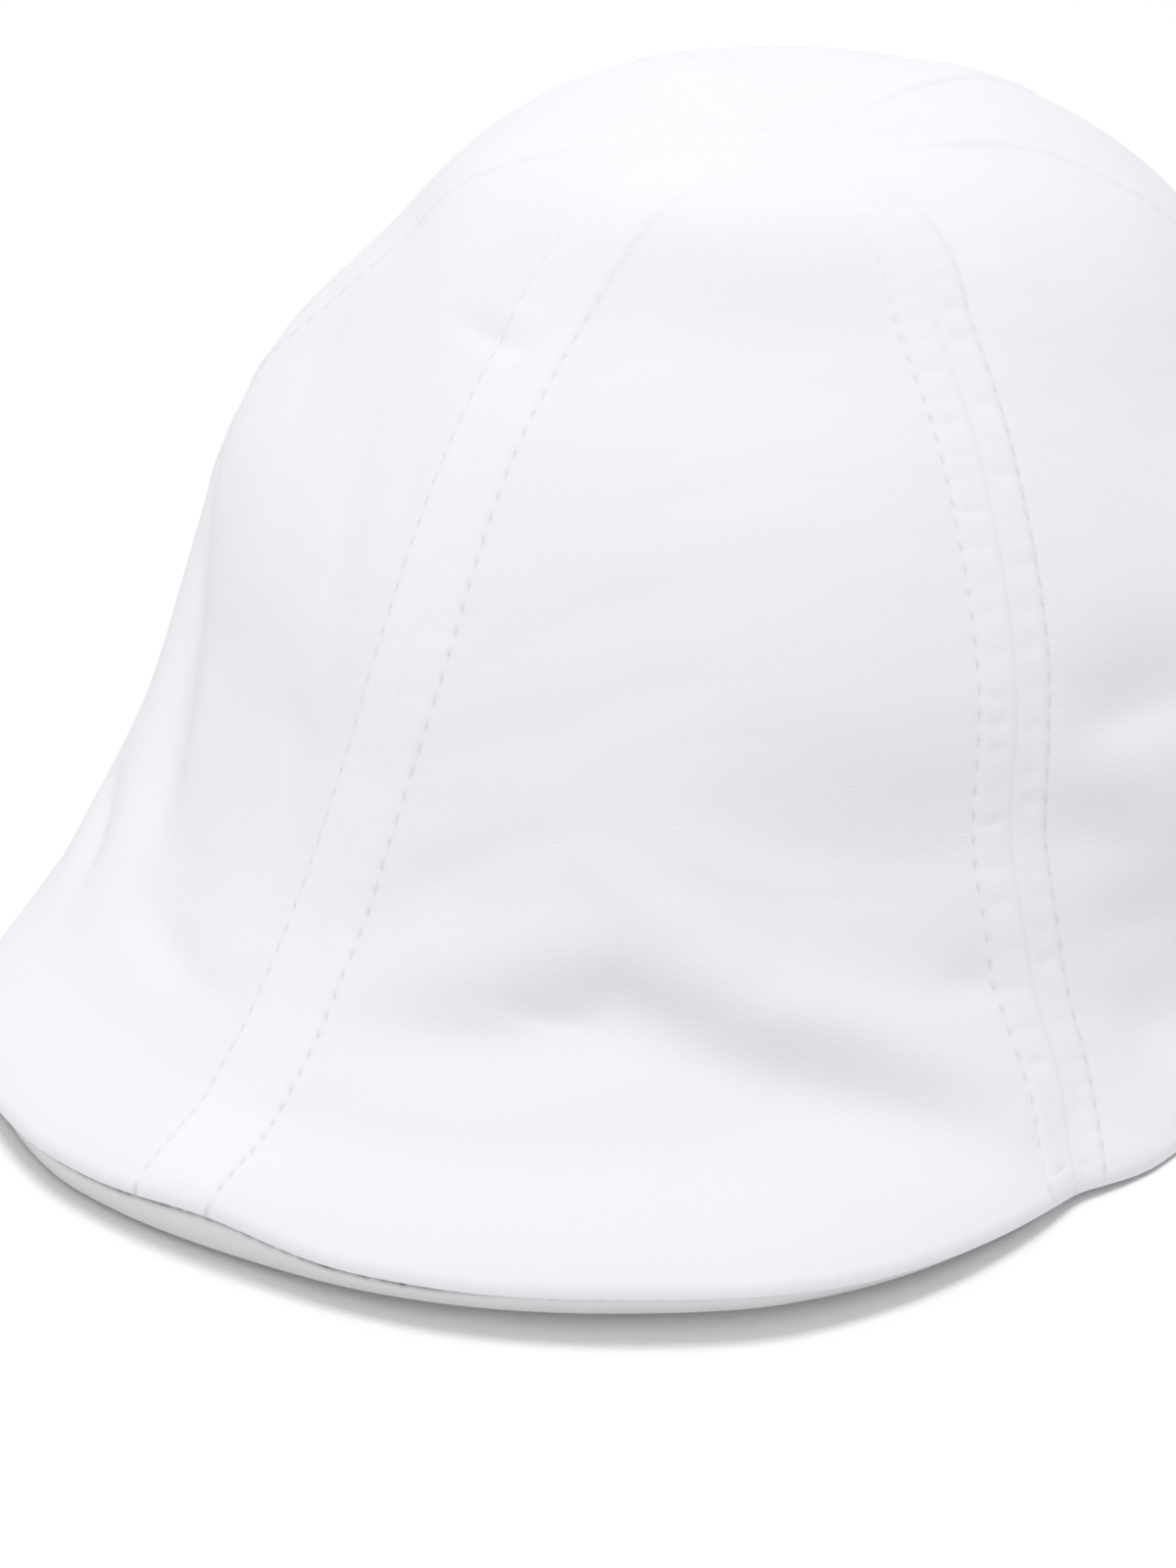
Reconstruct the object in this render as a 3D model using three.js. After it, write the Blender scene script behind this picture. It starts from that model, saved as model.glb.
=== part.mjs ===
// A six-panel duckbill cap in white cotton, standing on its peak edge and its hem.
// Units are millimetres and +Z is up. The front of the cap looks along -Y, and +X is the wearer's left.
// The crown panels run from the apex over the peak. Under them lie the covered peak board and the sweatband.

import * as THREE from 'three';

// Walls and clearances
const PANEL_WALL = 1.5;
const PIECE_GAP = 0.3;
const TIP_ROW = 0.06;
const LEAST_REACH = 1e-6;

// The crown's six panels, counted in half panels round it, and the steps that directions are taken over
const HALF_PANELS = 12;
const MEASURE_STEP = 0.05;
const NORMAL_STEP = 0.02;

// The peak: how far it flares past the hem, how far behind the apex's front it is widest, and its lean.
const PEAK_WIDEST_Y = -98;
const PEAK_FLARE = 6.5;
const FLARE_LENGTH = 75;
const PEAK_SWAY = -18;
const PEAK_TWIST = 19;
const SWAY_POWER = 1.4;
const SWAY_FRONT_Y = -60;
const SWAY_BACK_Y = 40;
const SIDE_BLEND = 0.8;
const REAR_SEAM_ANGLE = 150;

// The seams meet a little in front of the crown's middle and to the wearer's right.
const TIP_X = -3;
const TIP_Y = -13.5;
const TIP_FADE = 2.7;

// The head opening and the sweatband round it
const OPENING_HALF_WIDTH = 86.6;
const OPENING_FRONT = 112;
const OPENING_BACK = 89.6;
const BAND_WALL = 1.4;
const BAND_HEIGHT = 27;
const BAND_FRONT_LIFT = 24;
const BAND_SWAY_HEIGHT = 52;
const BAND_STEPS = 64;

// The covered peak board
const RIM_HEIGHT = 1.7;
const RIM_STRIP = 4;
const BOARD_WALL = 2.4;
const BOARD_ROOT_HEIGHT = 27;
const BOARD_HOLLOW = 0.15;
const BOARD_HALF_ANGLE = 103;
const BOARD_ANGLE_SHARE = 0.64;
const BOARD_TAPER_ANGLE = 80;
const BOARD_TAIL_SHARE = 0.45;
const TAIL_LIFT = 0.4;
const ROOT_OUTSET = 0.6;
const BOARD_COLUMNS = 40;
const BOARD_ROWS = 6;

// One row for each section of the shell, from the apex down to the hem and the peak's edge.
// front, half and back are its reaches from the apex in plan, zFront, zSide and zBack its heights,
// seam the angle of the front seams in degrees, and peak the share of the peak's flare and lean.
// The last three say how far three of the seams wander there from their even places.
const SECTION_COLUMNS = [
  'front', 'half', 'back', 'zFront', 'zSide', 'zBack', 'seam', 'peak', 'rightFront', 'leftFront', 'leftSide',
];
const SECTION_ROWS = {
  apex: [0, 0, 0, 115, 115, 115, 31, 0, 0, 0, 0],
  capTop: [34, 31, 32, 113, 111.3, 112.9, 31, 0, -0.1, 0.3, 0.73],
  highCrown: [60, 54.5, 60, 99.5, 100.6, 102.1, 32, 0, -0.02, 0.03, 0.57],
  shoulder: [83, 73.5, 81, 84.5, 79.5, 81.5, 32, 0, 0.03, -0.003, 0.48],
  crownSide: [107, 90.5, 92, 61, 61, 58, 31, 0, 0.063, -0.007, 0.25],
  lowCrown: [125.7, 94, 96, 41.2, 41, 36, 32, 0.11, 0.02, -0.035, 0.08],
  peakRoot: [141, 90, 95, 23.4, 24, 19, 35, 0.42, -0.03, -0.023, 0],
  peakMiddle: [164.8, 90, 93, 13.4, 10, 9, 39, 0.7, -0.023, 0.002, 0],
  edgeAndHem: [190, 90.5, 92, 3.2, 3.2, 0, 43.5, 1, -0.018, 0.014, 0],
};

// One row for each fold or dent: its half widths above and below its path, its depth, and the path on
// the shell (across, down). Across counts half panels from the front centre, down counts sections from
// the apex, and a negative depth is a ridge.
const FOLDS = [
  { name: 'root crease, right', above: 6, below: 8, depth: 1.4,
    path: [[-0.87, 6.4], [-0.6, 6.3], [-0.37, 6], [-0.16, 5.86], [0.05, 6]] },
  { name: 'root crease, left', above: 7, below: 10, depth: 2.4,
    path: [[-0.2, 5.86], [0, 5.97], [0.12, 6.2], [0.4, 6.6], [0.95, 7.4]] },
  { name: 'front centre ridge', above: 26, below: 26, depth: -2.6,
    path: [[0.2, 3], [0.35, 4.2], [0.35, 5.2]] },
  { name: 'hollow by the left seam', above: 20, below: 8, depth: 2.4,
    path: [[0.3, 5.1], [0.7, 5.25], [1.1, 5.4]] },
  { name: 'right temple fold', above: 7, below: 7, depth: 2.4,
    path: [[-3.1, 3.9], [-2.2, 4.6], [-1.9, 5.15], [-1.47, 6.1]] },
  { name: 'right corner fold', above: 3.5, below: 3.5, depth: 1.3,
    path: [[-2.25, 6.15], [-1.99, 6.56], [-1.88, 6.85]] },
  { name: 'right shoulder hollow', above: 5, below: 5, depth: 0.8,
    path: [[-1.75, 3], [-1.3, 4.1], [-1.25, 4.6]] },
  { name: 'right side dent', above: 10, below: 10, depth: 1.7,
    path: [[-3.4, 3.6], [-3.05, 4], [-2.75, 4.35]] },
  { name: 'crown dent', above: 9, below: 9, depth: 1.8,
    path: [[-3.3, 2.7], [-2.9, 2.4], [-2.5, 2.3]] },
  { name: 'left temple fold, top', above: 10, below: 6, depth: 2.6,
    path: [[1.15, 4.45], [1.4, 4.55], [1.75, 4.6]] },
  { name: 'left temple fold, middle', above: 8, below: 6, depth: 1.5,
    path: [[1.05, 5.1], [1.25, 5.25], [1.5, 5.5]] },
  { name: 'left corner fold', above: 11, below: 7, depth: 2.8,
    path: [[1.25, 6.65], [1.5, 6.7], [1.85, 6.8]] },
  { name: 'dent behind the apex', above: 5, below: 5, depth: 1.6,
    path: [[-5.1, 1.1], [-5.55, 1.2], [-5.95, 1.4]] },
];
const FOLD_END = 0.08;

// One row for each crown panel: the seams it runs between, in half panels, and its grid.
const PANELS = [
  { name: 'front_panel', from: -1, to: 1, columns: 18, rows: 40 },
  { name: 'left_front_panel', from: 1, to: 3, columns: 13, rows: 34 },
  { name: 'left_rear_panel', from: 3, to: 5, columns: 8, rows: 34 },
  { name: 'rear_panel', from: 5, to: 7, columns: 8, rows: 22 },
  { name: 'right_rear_panel', from: -5, to: -3, columns: 8, rows: 22 },
  { name: 'right_front_panel', from: -3, to: -1, columns: 13, rows: 34 },
];

const CLOTH_LOOK = { color: 0xf4f4f9, roughness: 0.85, metalness: 0 };
const BOARD_LOOK = { color: 0xe6e6ea, roughness: 0.85, metalness: 0 };

const SECTIONS = Object.values(SECTION_ROWS).map((row) => (
  Object.fromEntries(SECTION_COLUMNS.map((column, k) => [column, row[k]]))
));
const LAST_ROW = SECTIONS.length - 1;
const { clamp, degToRad, lerp, radToDeg, smoothstep } = THREE.MathUtils;

// A smooth curve through three columns of the sections
function columnCurve(a, b, c) {
  const knots = SECTIONS.map((row) => new THREE.Vector3(row[a], row[b], row[c]));
  return new THREE.CatmullRomCurve3(knots, false, 'catmullrom', 0.5);
}

const reaches = columnCurve('front', 'half', 'back');
const heights = columnCurve('zFront', 'zSide', 'zBack');
const sewing = columnCurve('seam', 'peak', 'peak');
const wander = columnCurve('rightFront', 'leftFront', 'leftSide');

// Where a seam lies across the shell at a place down it
function seamAcross(seam, down) {
  const shift = wander.getPoint(down / LAST_ROW);
  const shifts = { '-1': shift.x, 1: shift.y, 3: shift.z };
  return seam + (shifts[seam] ?? 0);
}

// How much of the peak's sideways lean holds at a place in plan
function swayShare(y) {
  return 1 - smoothstep(y, SWAY_FRONT_Y, SWAY_BACK_Y);
}

// The plan angle of a place across the shell, measured from the front, in degrees
function planAngle(across, seamAngle, sideAngle) {
  const side = Math.sign(across);
  const halves = Math.abs(across);
  if (halves <= 1) return side * seamAngle * halves;
  if (halves <= 3) return side * lerp(seamAngle, sideAngle, (halves - 1) / 2);
  if (halves <= 5) return side * lerp(sideAngle, REAR_SEAM_ANGLE, (halves - 3) / 2);
  return side * lerp(REAR_SEAM_ANGLE, 180, halves - 5);
}

// A point of the smooth shell. The rear panel passes the back centre, where the count starts again.
function shellPoint(acrossAny, down) {
  const across = acrossAny > HALF_PANELS / 2 ? acrossAny - HALF_PANELS : acrossAny;
  const row = down / LAST_ROW;
  const reach = reaches.getPoint(row);
  const height = heights.getPoint(row);
  const sewn = sewing.getPoint(row);
  const peak = Math.max(sewn.y, 0);
  const lean = peak ** SWAY_POWER;
  const widestY = PEAK_WIDEST_Y * peak;
  const flare = PEAK_FLARE * peak;
  const back = Math.max(reach.z, LEAST_REACH);
  const sideAngle = 90 + radToDeg(Math.asin(clamp(-widestY / (back - widestY), 0, 1)));
  const seamPull = Math.cos(clamp(Math.abs(across) / 3, 0, 1) * Math.PI / 2) ** 2;
  const angle = degToRad(planAngle(across, sewn.x, sideAngle) + PEAK_TWIST * lean * seamPull);
  const sine = Math.sin(angle);
  const cosine = Math.cos(angle);
  const point = new THREE.Vector3();
  if (cosine > 0) {
    point.x = (reach.y + flare) * sine;
    point.y = widestY - (reach.x + widestY) * cosine;
    point.z = lerp(height.y, height.x, cosine ** 2);
  } else {
    point.y = widestY - (back - widestY) * cosine;
    const behind = clamp(point.y / back, 0, 1);
    const past = clamp((point.y - widestY) / FLARE_LENGTH, 0, 1);
    const half = reach.y * Math.sqrt(1 - behind ** 2) + flare * (1 + Math.cos(Math.PI * past)) / 2;
    point.x = half * Math.sign(sine);
    point.z = lerp(height.y, height.z, smoothstep(-cosine, 0, SIDE_BLEND));
  }
  const tip = 1 - smoothstep(down, 0, TIP_FADE);
  point.x += PEAK_SWAY * lean * swayShare(point.y) + TIP_X * tip;
  point.y += TIP_Y * tip;
  return point;
}

// The outward normal of the smooth shell
function shellNormal(across, down) {
  const lower = Math.min(down + NORMAL_STEP, LAST_ROW);
  const alongAcross = shellPoint(across + NORMAL_STEP, down).sub(shellPoint(across - NORMAL_STEP, down));
  const alongUp = shellPoint(across, down - NORMAL_STEP).sub(shellPoint(across, lower));
  return alongAcross.cross(alongUp).normalize();
}

const foldLines = FOLDS.map(({ path, above, below, depth }) => {
  const knots = path.map((place) => shellPoint(...place));
  const lines = knots.slice(1).map((knot, step) => new THREE.Line3(knots[step], knot));
  const length = lines.reduce((sum, line) => sum + line.distance(), 0);
  const [across, down] = path[0];
  const uphill = shellPoint(across, down - MEASURE_STEP).sub(knots[0]).normalize();
  return { lines, length, uphill, above, below, depth };
});

// The share of a fold's depth at a point: it fades to both sides of the path and towards its ends
function foldShare({ lines, length, uphill, above, below }, point) {
  let reach = Infinity;
  let share = 0;
  let passed = 0;
  const away = new THREE.Vector3();
  lines.forEach((line) => {
    const along = line.closestPointToPointParameter(point, true);
    const offset = point.clone().sub(line.at(along, new THREE.Vector3()));
    if (offset.length() < reach) {
      reach = offset.length();
      share = (passed + along * line.distance()) / length;
      away.copy(offset).normalize();
    }
    passed += line.distance();
  });
  const width = lerp(below, above, (1 + away.dot(uphill)) / 2);
  return Math.sin(Math.PI * lerp(FOLD_END, 1 - FOLD_END, share)) * Math.exp(-((reach / width) ** 2));
}

// How deep the folds press the cloth in at a point of the smooth shell
function foldDepth(point) {
  return foldLines.reduce((sum, fold) => sum + fold.depth * foldShare(fold, point), 0);
}

// The outer and inner points of the folded cloth wall. At the hem the wall ends in a level face.
function wallPoints(across, down) {
  const normal = shellNormal(across, down);
  const outer = shellPoint(across, down);
  outer.addScaledVector(normal, -foldDepth(outer));
  if (down === LAST_ROW) normal.setZ(0).normalize();
  const inner = outer.clone().addScaledVector(normal, -PANEL_WALL);
  return { outer, inner };
}

// Closes two matching grids of points, rows of columns, into one solid. The first grid faces outwards.
function solidBetween(outerGrid, innerGrid) {
  const rows = outerGrid.length;
  const columns = outerGrid[0].length;
  const positions = [...outerGrid, ...innerGrid].flat().flatMap((point) => point.toArray());
  const outer = (row, column) => row * columns + column;
  const inner = (row, column) => rows * columns + outer(row, column);
  const index = [];
  for (let row = 0; row < rows - 1; row += 1) {
    for (let column = 0; column < columns - 1; column += 1) {
      const corners = [[row, column], [row + 1, column], [row + 1, column + 1], [row, column + 1]];
      const [a, b, c, d] = corners.map((corner) => outer(...corner));
      const [e, f, g, h] = corners.map((corner) => inner(...corner));
      index.push(a, b, c, a, c, d, e, g, f, e, h, g);
    }
  }
  const rim = [];
  for (let row = 0; row < rows - 1; row += 1) rim.push([row, 0]);
  for (let column = 0; column < columns - 1; column += 1) rim.push([rows - 1, column]);
  for (let row = rows - 1; row > 0; row -= 1) rim.push([row, columns - 1]);
  for (let column = columns - 1; column > 0; column -= 1) rim.push([0, column]);
  rim.forEach((place, step) => {
    const next = rim[(step + 1) % rim.length];
    const [p, q] = [outer(...place), outer(...next)];
    const [r, s] = [inner(...place), inner(...next)];
    index.push(q, p, r, q, r, s);
  });
  return indexedGeometry(positions, index);
}

// Joins a ring of equal sections, each a loop of points, into one closed band
function solidRing(sections) {
  const count = sections[0].length;
  const positions = sections.flat().flatMap((point) => point.toArray());
  const index = [];
  sections.forEach((_, step) => {
    const here = step * count;
    const next = ((step + 1) % sections.length) * count;
    for (let k = 0; k < count; k += 1) {
      const m = (k + 1) % count;
      index.push(here + k, next + k, next + m, here + k, next + m, here + m);
    }
  });
  return indexedGeometry(positions, index);
}

function indexedGeometry(positions, index) {
  const geometry = new THREE.BufferGeometry();
  geometry.setAttribute('position', new THREE.Float32BufferAttribute(positions, 3));
  geometry.setIndex(index);
  geometry.computeVertexNormals();
  return geometry;
}

// A crown panel: a cloth wall between two seams, cut back by half a gap along each
function panelGeometry({ from, to, columns, rows }) {
  const outerGrid = [];
  const innerGrid = [];
  for (let row = 0; row <= rows; row += 1) {
    const down = lerp(TIP_ROW, LAST_ROW, row / rows);
    const trim = (seam, inwards) => {
      const step = MEASURE_STEP * inwards;
      const edge = seamAcross(seam, down);
      const length = shellPoint(edge, down).distanceTo(shellPoint(edge + step, down));
      return edge + step * PIECE_GAP / 2 / length;
    };
    const start = trim(from, 1);
    const end = trim(to, -1);
    const wall = [];
    for (let column = 0; column <= columns; column += 1) {
      wall.push(wallPoints(lerp(start, end, column / columns), down));
    }
    outerGrid.push(wall.map((pair) => pair.outer));
    innerGrid.push(wall.map((pair) => pair.inner));
  }
  return solidBetween(outerGrid, innerGrid);
}

// A point in plan on the head opening's edge, at an angle from the front. The lean fades with height.
function openingPoint(angle, z, outset) {
  const radians = degToRad(angle);
  const along = Math.cos(radians);
  const reach = (along > 0 ? OPENING_FRONT : OPENING_BACK) + outset;
  const y = -reach * along;
  const fade = 1 - z / BAND_SWAY_HEIGHT;
  const x = (OPENING_HALF_WIDTH + outset) * Math.sin(radians) + PEAK_SWAY * fade * swayShare(y);
  return new THREE.Vector3(x, y, z);
}

// The sweatband: it stands on the surface at the sides and back, and rises in front to the board's root
function sweatbandGeometry() {
  const sections = [];
  for (let step = 0; step < BAND_STEPS; step += 1) {
    const angle = 360 * step / BAND_STEPS;
    const low = BAND_FRONT_LIFT * Math.max(Math.cos(degToRad(angle)), 0) ** 2;
    const high = low + BAND_HEIGHT;
    sections.push([
      openingPoint(angle, low, 0),
      openingPoint(angle, high, 0),
      openingPoint(angle, high, -BAND_WALL),
      openingPoint(angle, low, -BAND_WALL),
    ]);
  }
  return solidRing(sections);
}

// The covered board: from its rim under the panels' edge it rises to the sweatband, and it narrows to
// two tails. A flat strip under the rim rests on the surface.
function underPeakGeometry() {
  const topGrid = [];
  const bottomGrid = [];
  for (let row = 0; row <= BOARD_ROWS; row += 1) {
    const top = [];
    const bottom = [];
    for (let column = 0; column <= BOARD_COLUMNS; column += 1) {
      const angle = lerp(-BOARD_HALF_ANGLE, BOARD_HALF_ANGLE, column / BOARD_COLUMNS);
      const rim = edgePoint(angle);
      const rootAngle = angle * BOARD_ANGLE_SHARE;
      const rootHeight = lerp(RIM_HEIGHT, BOARD_ROOT_HEIGHT, Math.cos(degToRad(rootAngle)) ** 2);
      const root = openingPoint(rootAngle, rootHeight, ROOT_OUTSET);
      const taper = smoothstep(Math.abs(angle), BOARD_TAPER_ANGLE, BOARD_HALF_ANGLE);
      const strip = RIM_STRIP / Math.hypot(root.x - rim.x, root.y - rim.y);
      const inwards = lerp(lerp(1, BOARD_TAIL_SHARE, taper), strip, row / (BOARD_ROWS - 1));
      const share = row === BOARD_ROWS ? 0 : inwards;
      const climb = share * (1 - BOARD_HOLLOW) + BOARD_HOLLOW * share ** 2;
      const point = rim.clone().lerp(root, share);
      point.z = lerp(RIM_HEIGHT, rootHeight, climb);
      const under = point.clone();
      under.z = row >= BOARD_ROWS - 1 ? 0 : Math.max(point.z - BOARD_WALL, TAIL_LIFT);
      const lean = openingPoint(rootAngle, under.z, 0).x - openingPoint(rootAngle, point.z, 0).x;
      under.x += lean * share;
      top.push(point);
      bottom.push(under);
    }
    topGrid.push(top);
    bottomGrid.push(bottom);
  }
  return solidBetween(topGrid, bottomGrid);
}

// A point on the peak's edge at a plan angle from its front, at the board's rim
function edgePoint(angle) {
  const last = SECTIONS[LAST_ROW];
  const cosine = Math.cos(degToRad(angle));
  const sine = Math.sin(degToRad(angle));
  const point = new THREE.Vector3(0, 0, RIM_HEIGHT);
  if (cosine > 0) {
    point.x = (last.half + PEAK_FLARE) * sine;
    point.y = PEAK_WIDEST_Y - (last.front + PEAK_WIDEST_Y) * cosine;
  } else {
    point.y = PEAK_WIDEST_Y - (last.back - PEAK_WIDEST_Y) * cosine;
    const past = clamp((point.y - PEAK_WIDEST_Y) / FLARE_LENGTH, 0, 1);
    point.x = (last.half + PEAK_FLARE * (1 + Math.cos(Math.PI * past)) / 2) * Math.sign(sine);
  }
  point.x += PEAK_SWAY * swayShare(point.y);
  return point;
}

function namedMesh(name, geometry, look) {
  const mesh = new THREE.Mesh(geometry, new THREE.MeshStandardMaterial(look));
  mesh.name = name;
  return mesh;
}

const group = new THREE.Group();
PANELS.forEach((panel) => group.add(namedMesh(panel.name, panelGeometry(panel), CLOTH_LOOK)));
group.add(namedMesh('under_peak', underPeakGeometry(), BOARD_LOOK));
group.add(namedMesh('sweatband', sweatbandGeometry(), BOARD_LOOK));

// The origin is the middle of the cap's box, on the surface that it stands on
const box = new THREE.Box3().setFromObject(group);
const middle = box.getCenter(new THREE.Vector3());
group.position.set(-middle.x, -middle.y, -box.min.z);
group.updateMatrixWorld(true);

export default group;
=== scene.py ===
import math
import random

import bpy
import numpy as np
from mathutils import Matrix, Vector


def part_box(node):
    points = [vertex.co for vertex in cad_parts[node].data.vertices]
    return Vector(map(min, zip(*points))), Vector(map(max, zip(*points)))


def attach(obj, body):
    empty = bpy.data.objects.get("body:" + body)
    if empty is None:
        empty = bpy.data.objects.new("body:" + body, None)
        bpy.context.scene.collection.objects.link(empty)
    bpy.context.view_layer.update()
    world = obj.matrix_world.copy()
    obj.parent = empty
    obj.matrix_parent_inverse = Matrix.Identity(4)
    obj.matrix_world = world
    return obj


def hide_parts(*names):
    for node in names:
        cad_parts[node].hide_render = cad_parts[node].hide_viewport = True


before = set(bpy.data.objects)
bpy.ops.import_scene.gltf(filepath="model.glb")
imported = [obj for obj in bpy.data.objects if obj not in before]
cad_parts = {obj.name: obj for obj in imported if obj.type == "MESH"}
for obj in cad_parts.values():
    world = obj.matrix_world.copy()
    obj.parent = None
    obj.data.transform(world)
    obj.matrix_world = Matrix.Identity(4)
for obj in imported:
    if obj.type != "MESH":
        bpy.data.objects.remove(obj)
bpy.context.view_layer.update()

# A millimetre in metres, the number that starts each random draw, and the digits by which points are sorted
MM = 0.001
SEED = 4
SORT_DIGITS = 6

# The peak, as in the solids: where it is widest, its flare, and its lean and twist
PEAK_WIDEST_Y = -98
PEAK_FLARE = 6.5
FLARE_LENGTH = 75
PEAK_SWAY = -18
PEAK_TWIST = 19
SWAY_POWER = 1.4
SWAY_FRONT_Y = -60
SWAY_BACK_Y = 40
SIDE_BLEND = 0.8
REAR_SEAM_ANGLE = 150
MIDDLE_TO_BACK = 96.1

# The seams meet a little in front of the crown's middle and to the wearer's right. That shift fades out
# over the first rows of the section table. The cloth starts just below the point where they meet.
TIP_X = -3
TIP_Y = -13.5
TIP_FADE = 2.7
TIP_ROW = 0.0008

# One row for each section of the shell, from the apex down to the hem and the peak's edge: its reach in
# front, its half width, its reach behind, its height in front, at the side and behind, the angle of the
# front seams, and how much of a peak it is. The last three columns shift the front seams and the left side
# seam from their even places, as they lie in the photograph.
SHAPE_COLUMNS = ("front", "half", "back", "z_front", "z_side", "z_back", "seam", "peak")
SHIFTED_SEAMS = {-1: "right_front_seam", 1: "left_front_seam", 3: "left_side_seam"}
SECTION_COLUMNS = SHAPE_COLUMNS + tuple(SHIFTED_SEAMS.values())
SECTIONS = [
    (0, 0, 0, 115, 115, 115, 31, 0, 0, 0, 0),
    (34, 31, 32, 113, 110.4, 112.9, 31, 0, -0.1, 0.3, 0.73),
    (60, 54.5, 60, 99.5, 98.9, 101.6, 32, 0, -0.02, 0.03, 0.57),
    (85.7, 73.5, 81, 85.8, 78.6, 81.5, 32, 0, 0.03, -0.003, 0.48),
    (110.2, 90.5, 92, 62.5, 61, 58, 31, 0, 0.063, -0.007, 0.25),
    (127.5, 94, 96, 42.1, 41, 36, 32, 0.11, 0.02, -0.035, 0.08),
    (142.3, 90, 95, 24.1, 24, 19, 35, 0.42, -0.03, -0.023, 0),
    (163.5, 90, 93, 12.7, 10, 9, 39, 0.7, -0.023, 0.002, 0),
    (190, 90.5, 92, 3.2, 3.2, 0, 43.5, 1, -0.018, 0.014, 0),
]
LAST_ROW = len(SECTIONS) - 1

# Steps across and down the shell, in its own units, for measuring its slopes, and the least divisor
NORMAL_STEP = 0.02
LEAST_DOWN = 0.01
EDGE_STEP = 0.01
EDGE_SLOPE_STEP = 0.25
NEAR = 1e-6

# One row for each fold: its path in (across, down), its width above and below the path, and its depth.
# A negative depth is a ridge. Each starts and ends at a quarter of its depth, and a small step up the shell
# from its start tells above from below.
FOLDS = [
    (
        [(-0.87, 6.51), (-0.64, 6.34), (-0.48, 6.27), (-0.33, 6.11), (-0.16, 5.97), (-0.03, 6.06)],
        6, 11, 1.9,
    ),
    (
        [
            (-0.26, 6.05), (-0.16, 5.97), (0.04, 6.22), (0.19, 6.45), (0.42, 6.68),
            (0.63, 7.05), (0.79, 7.45),
        ],
        6.5, 10, 2.1,
    ),
    ([(-0.53, 6.04), (-0.44, 6.04), (-0.33, 6.06), (-0.22, 6.12)], 2.4, 1.8, 0.4),
    ([(-0.8, 6.01), (-0.58, 5.85), (-0.37, 5.67), (-0.15, 5.53)], 8, 7, -1.5),
    (
        [(-0.26, 5.59), (-0.15, 5.53), (0.04, 5.77), (0.2, 5.99), (0.45, 6.21), (0.68, 6.6), (0.83, 7)],
        10, 7, -3.4,
    ),
    ([(0.72, 5.8), (0.8, 5.95), (0.88, 6.05)], 4, 4, 0.8),
    ([(0.05, 4.66), (0.38, 4.8), (0.66, 4.93), (1, 5.05), (1.2, 5.07)], 15, 10, 2.6),
    ([(0.2, 3), (0.35, 4.2), (0.35, 5.2)], 26, 26, -2.2),
    ([(-0.8, 4.66), (-0.4, 4.3), (-0.02, 3.95)], 4, 4, 0.4),
    ([(-0.75, 3.95), (0, 3.55), (0.6, 3.2)], 5, 5, 0.35),
    ([(-0.85, 5.45), (-0.55, 5.1), (-0.3, 4.9)], 4, 4, 0.45),
    ([(-1, 5.95), (-0.75, 5.5), (-0.5, 5.2)], 5, 5, 0.5),
    ([(-0.35, 4.9), (-0.15, 5.2), (0.05, 5.5)], 3.5, 3.5, -0.4),
    ([(-0.1, 4.65), (0.1, 4.95), (0.3, 5.2)], 4, 4, -0.3),
    (
        [
            (-3.25, 3.9), (-2.75, 4.3), (-2.37, 4.75), (-2.08, 5.25), (-1.87, 5.75),
            (-1.62, 6.2), (-1.45, 6.4),
        ],
        8, 8, 3,
    ),
    ([(-1.83, 4.91), (-1.79, 5.36), (-1.71, 5.77), (-1.66, 6.12)], 5, 5, -1.1),
    ([(-2.3, 6.3), (-2.06, 6.6), (-1.96, 6.87)], 3.5, 3.5, 1.7),
    ([(-1.75, 3), (-1.45, 3.6), (-1.3, 4.1), (-1.25, 4.6)], 5, 5, 0.9),
    ([(-1.4, 4.6), (-1.28, 5), (-1.25, 5.5)], 5, 5, 0.8),
    ([(-1.24, 3.1), (-1.2, 3.5), (-1.18, 3.8)], 1.8, 1.8, 0.4),
    ([(-1.75, 6.4), (-1.55, 6.48), (-1.35, 6.6), (-1.15, 6.6)], 4, 5, 1.1),
    ([(-3.4, 3.6), (-3.05, 4), (-2.75, 4.35)], 10, 10, 1.7),
    ([(-3.3, 2.7), (-2.9, 2.4), (-2.5, 2.3)], 9, 9, 1.8),
    ([(-1.55, 2.35), (-1.3, 2.36), (-0.98, 2.37)], 3, 2.5, 0.8),
    ([(1.15, 4.35), (1.4, 4.4), (1.75, 4.45)], 10, 6, 2.8),
    ([(1.05, 5), (1.25, 5.15), (1.5, 5.4)], 8, 6, 1.9),
    ([(1.2, 5.7), (1.4, 5.85), (1.6, 6.05)], 7, 6, 1.5),
    ([(1.25, 6.7), (1.5, 6.75), (1.85, 6.85)], 11, 7, 3.3),
    ([(1.85, 0.8), (1.72, 1.2), (1.58, 1.7)], 4.5, 4.5, 0.9),
    ([(-5.1, 1.1), (-5.55, 1.2), (-5.95, 1.4)], 5, 5, 1.6),
]
FOLD_STEP = 0.05
FOLD_END = 0.08

# One row for each panel: its node, the two seams it lies between, its columns between their bands, and its
# rows. A seam is numbered by its place across the shell. The right rear seam is 7 and also -5.
PANELS = [
    ("front_panel", -1, 1, 54, 300),
    ("left_front_panel", 1, 3, 46, 220),
    ("left_rear_panel", 3, 5, 34, 170),
    ("rear_panel", 5, 7, 34, 170),
    ("right_rear_panel", -5, -3, 34, 170),
    ("right_front_panel", -3, -1, 46, 220),
]

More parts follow.
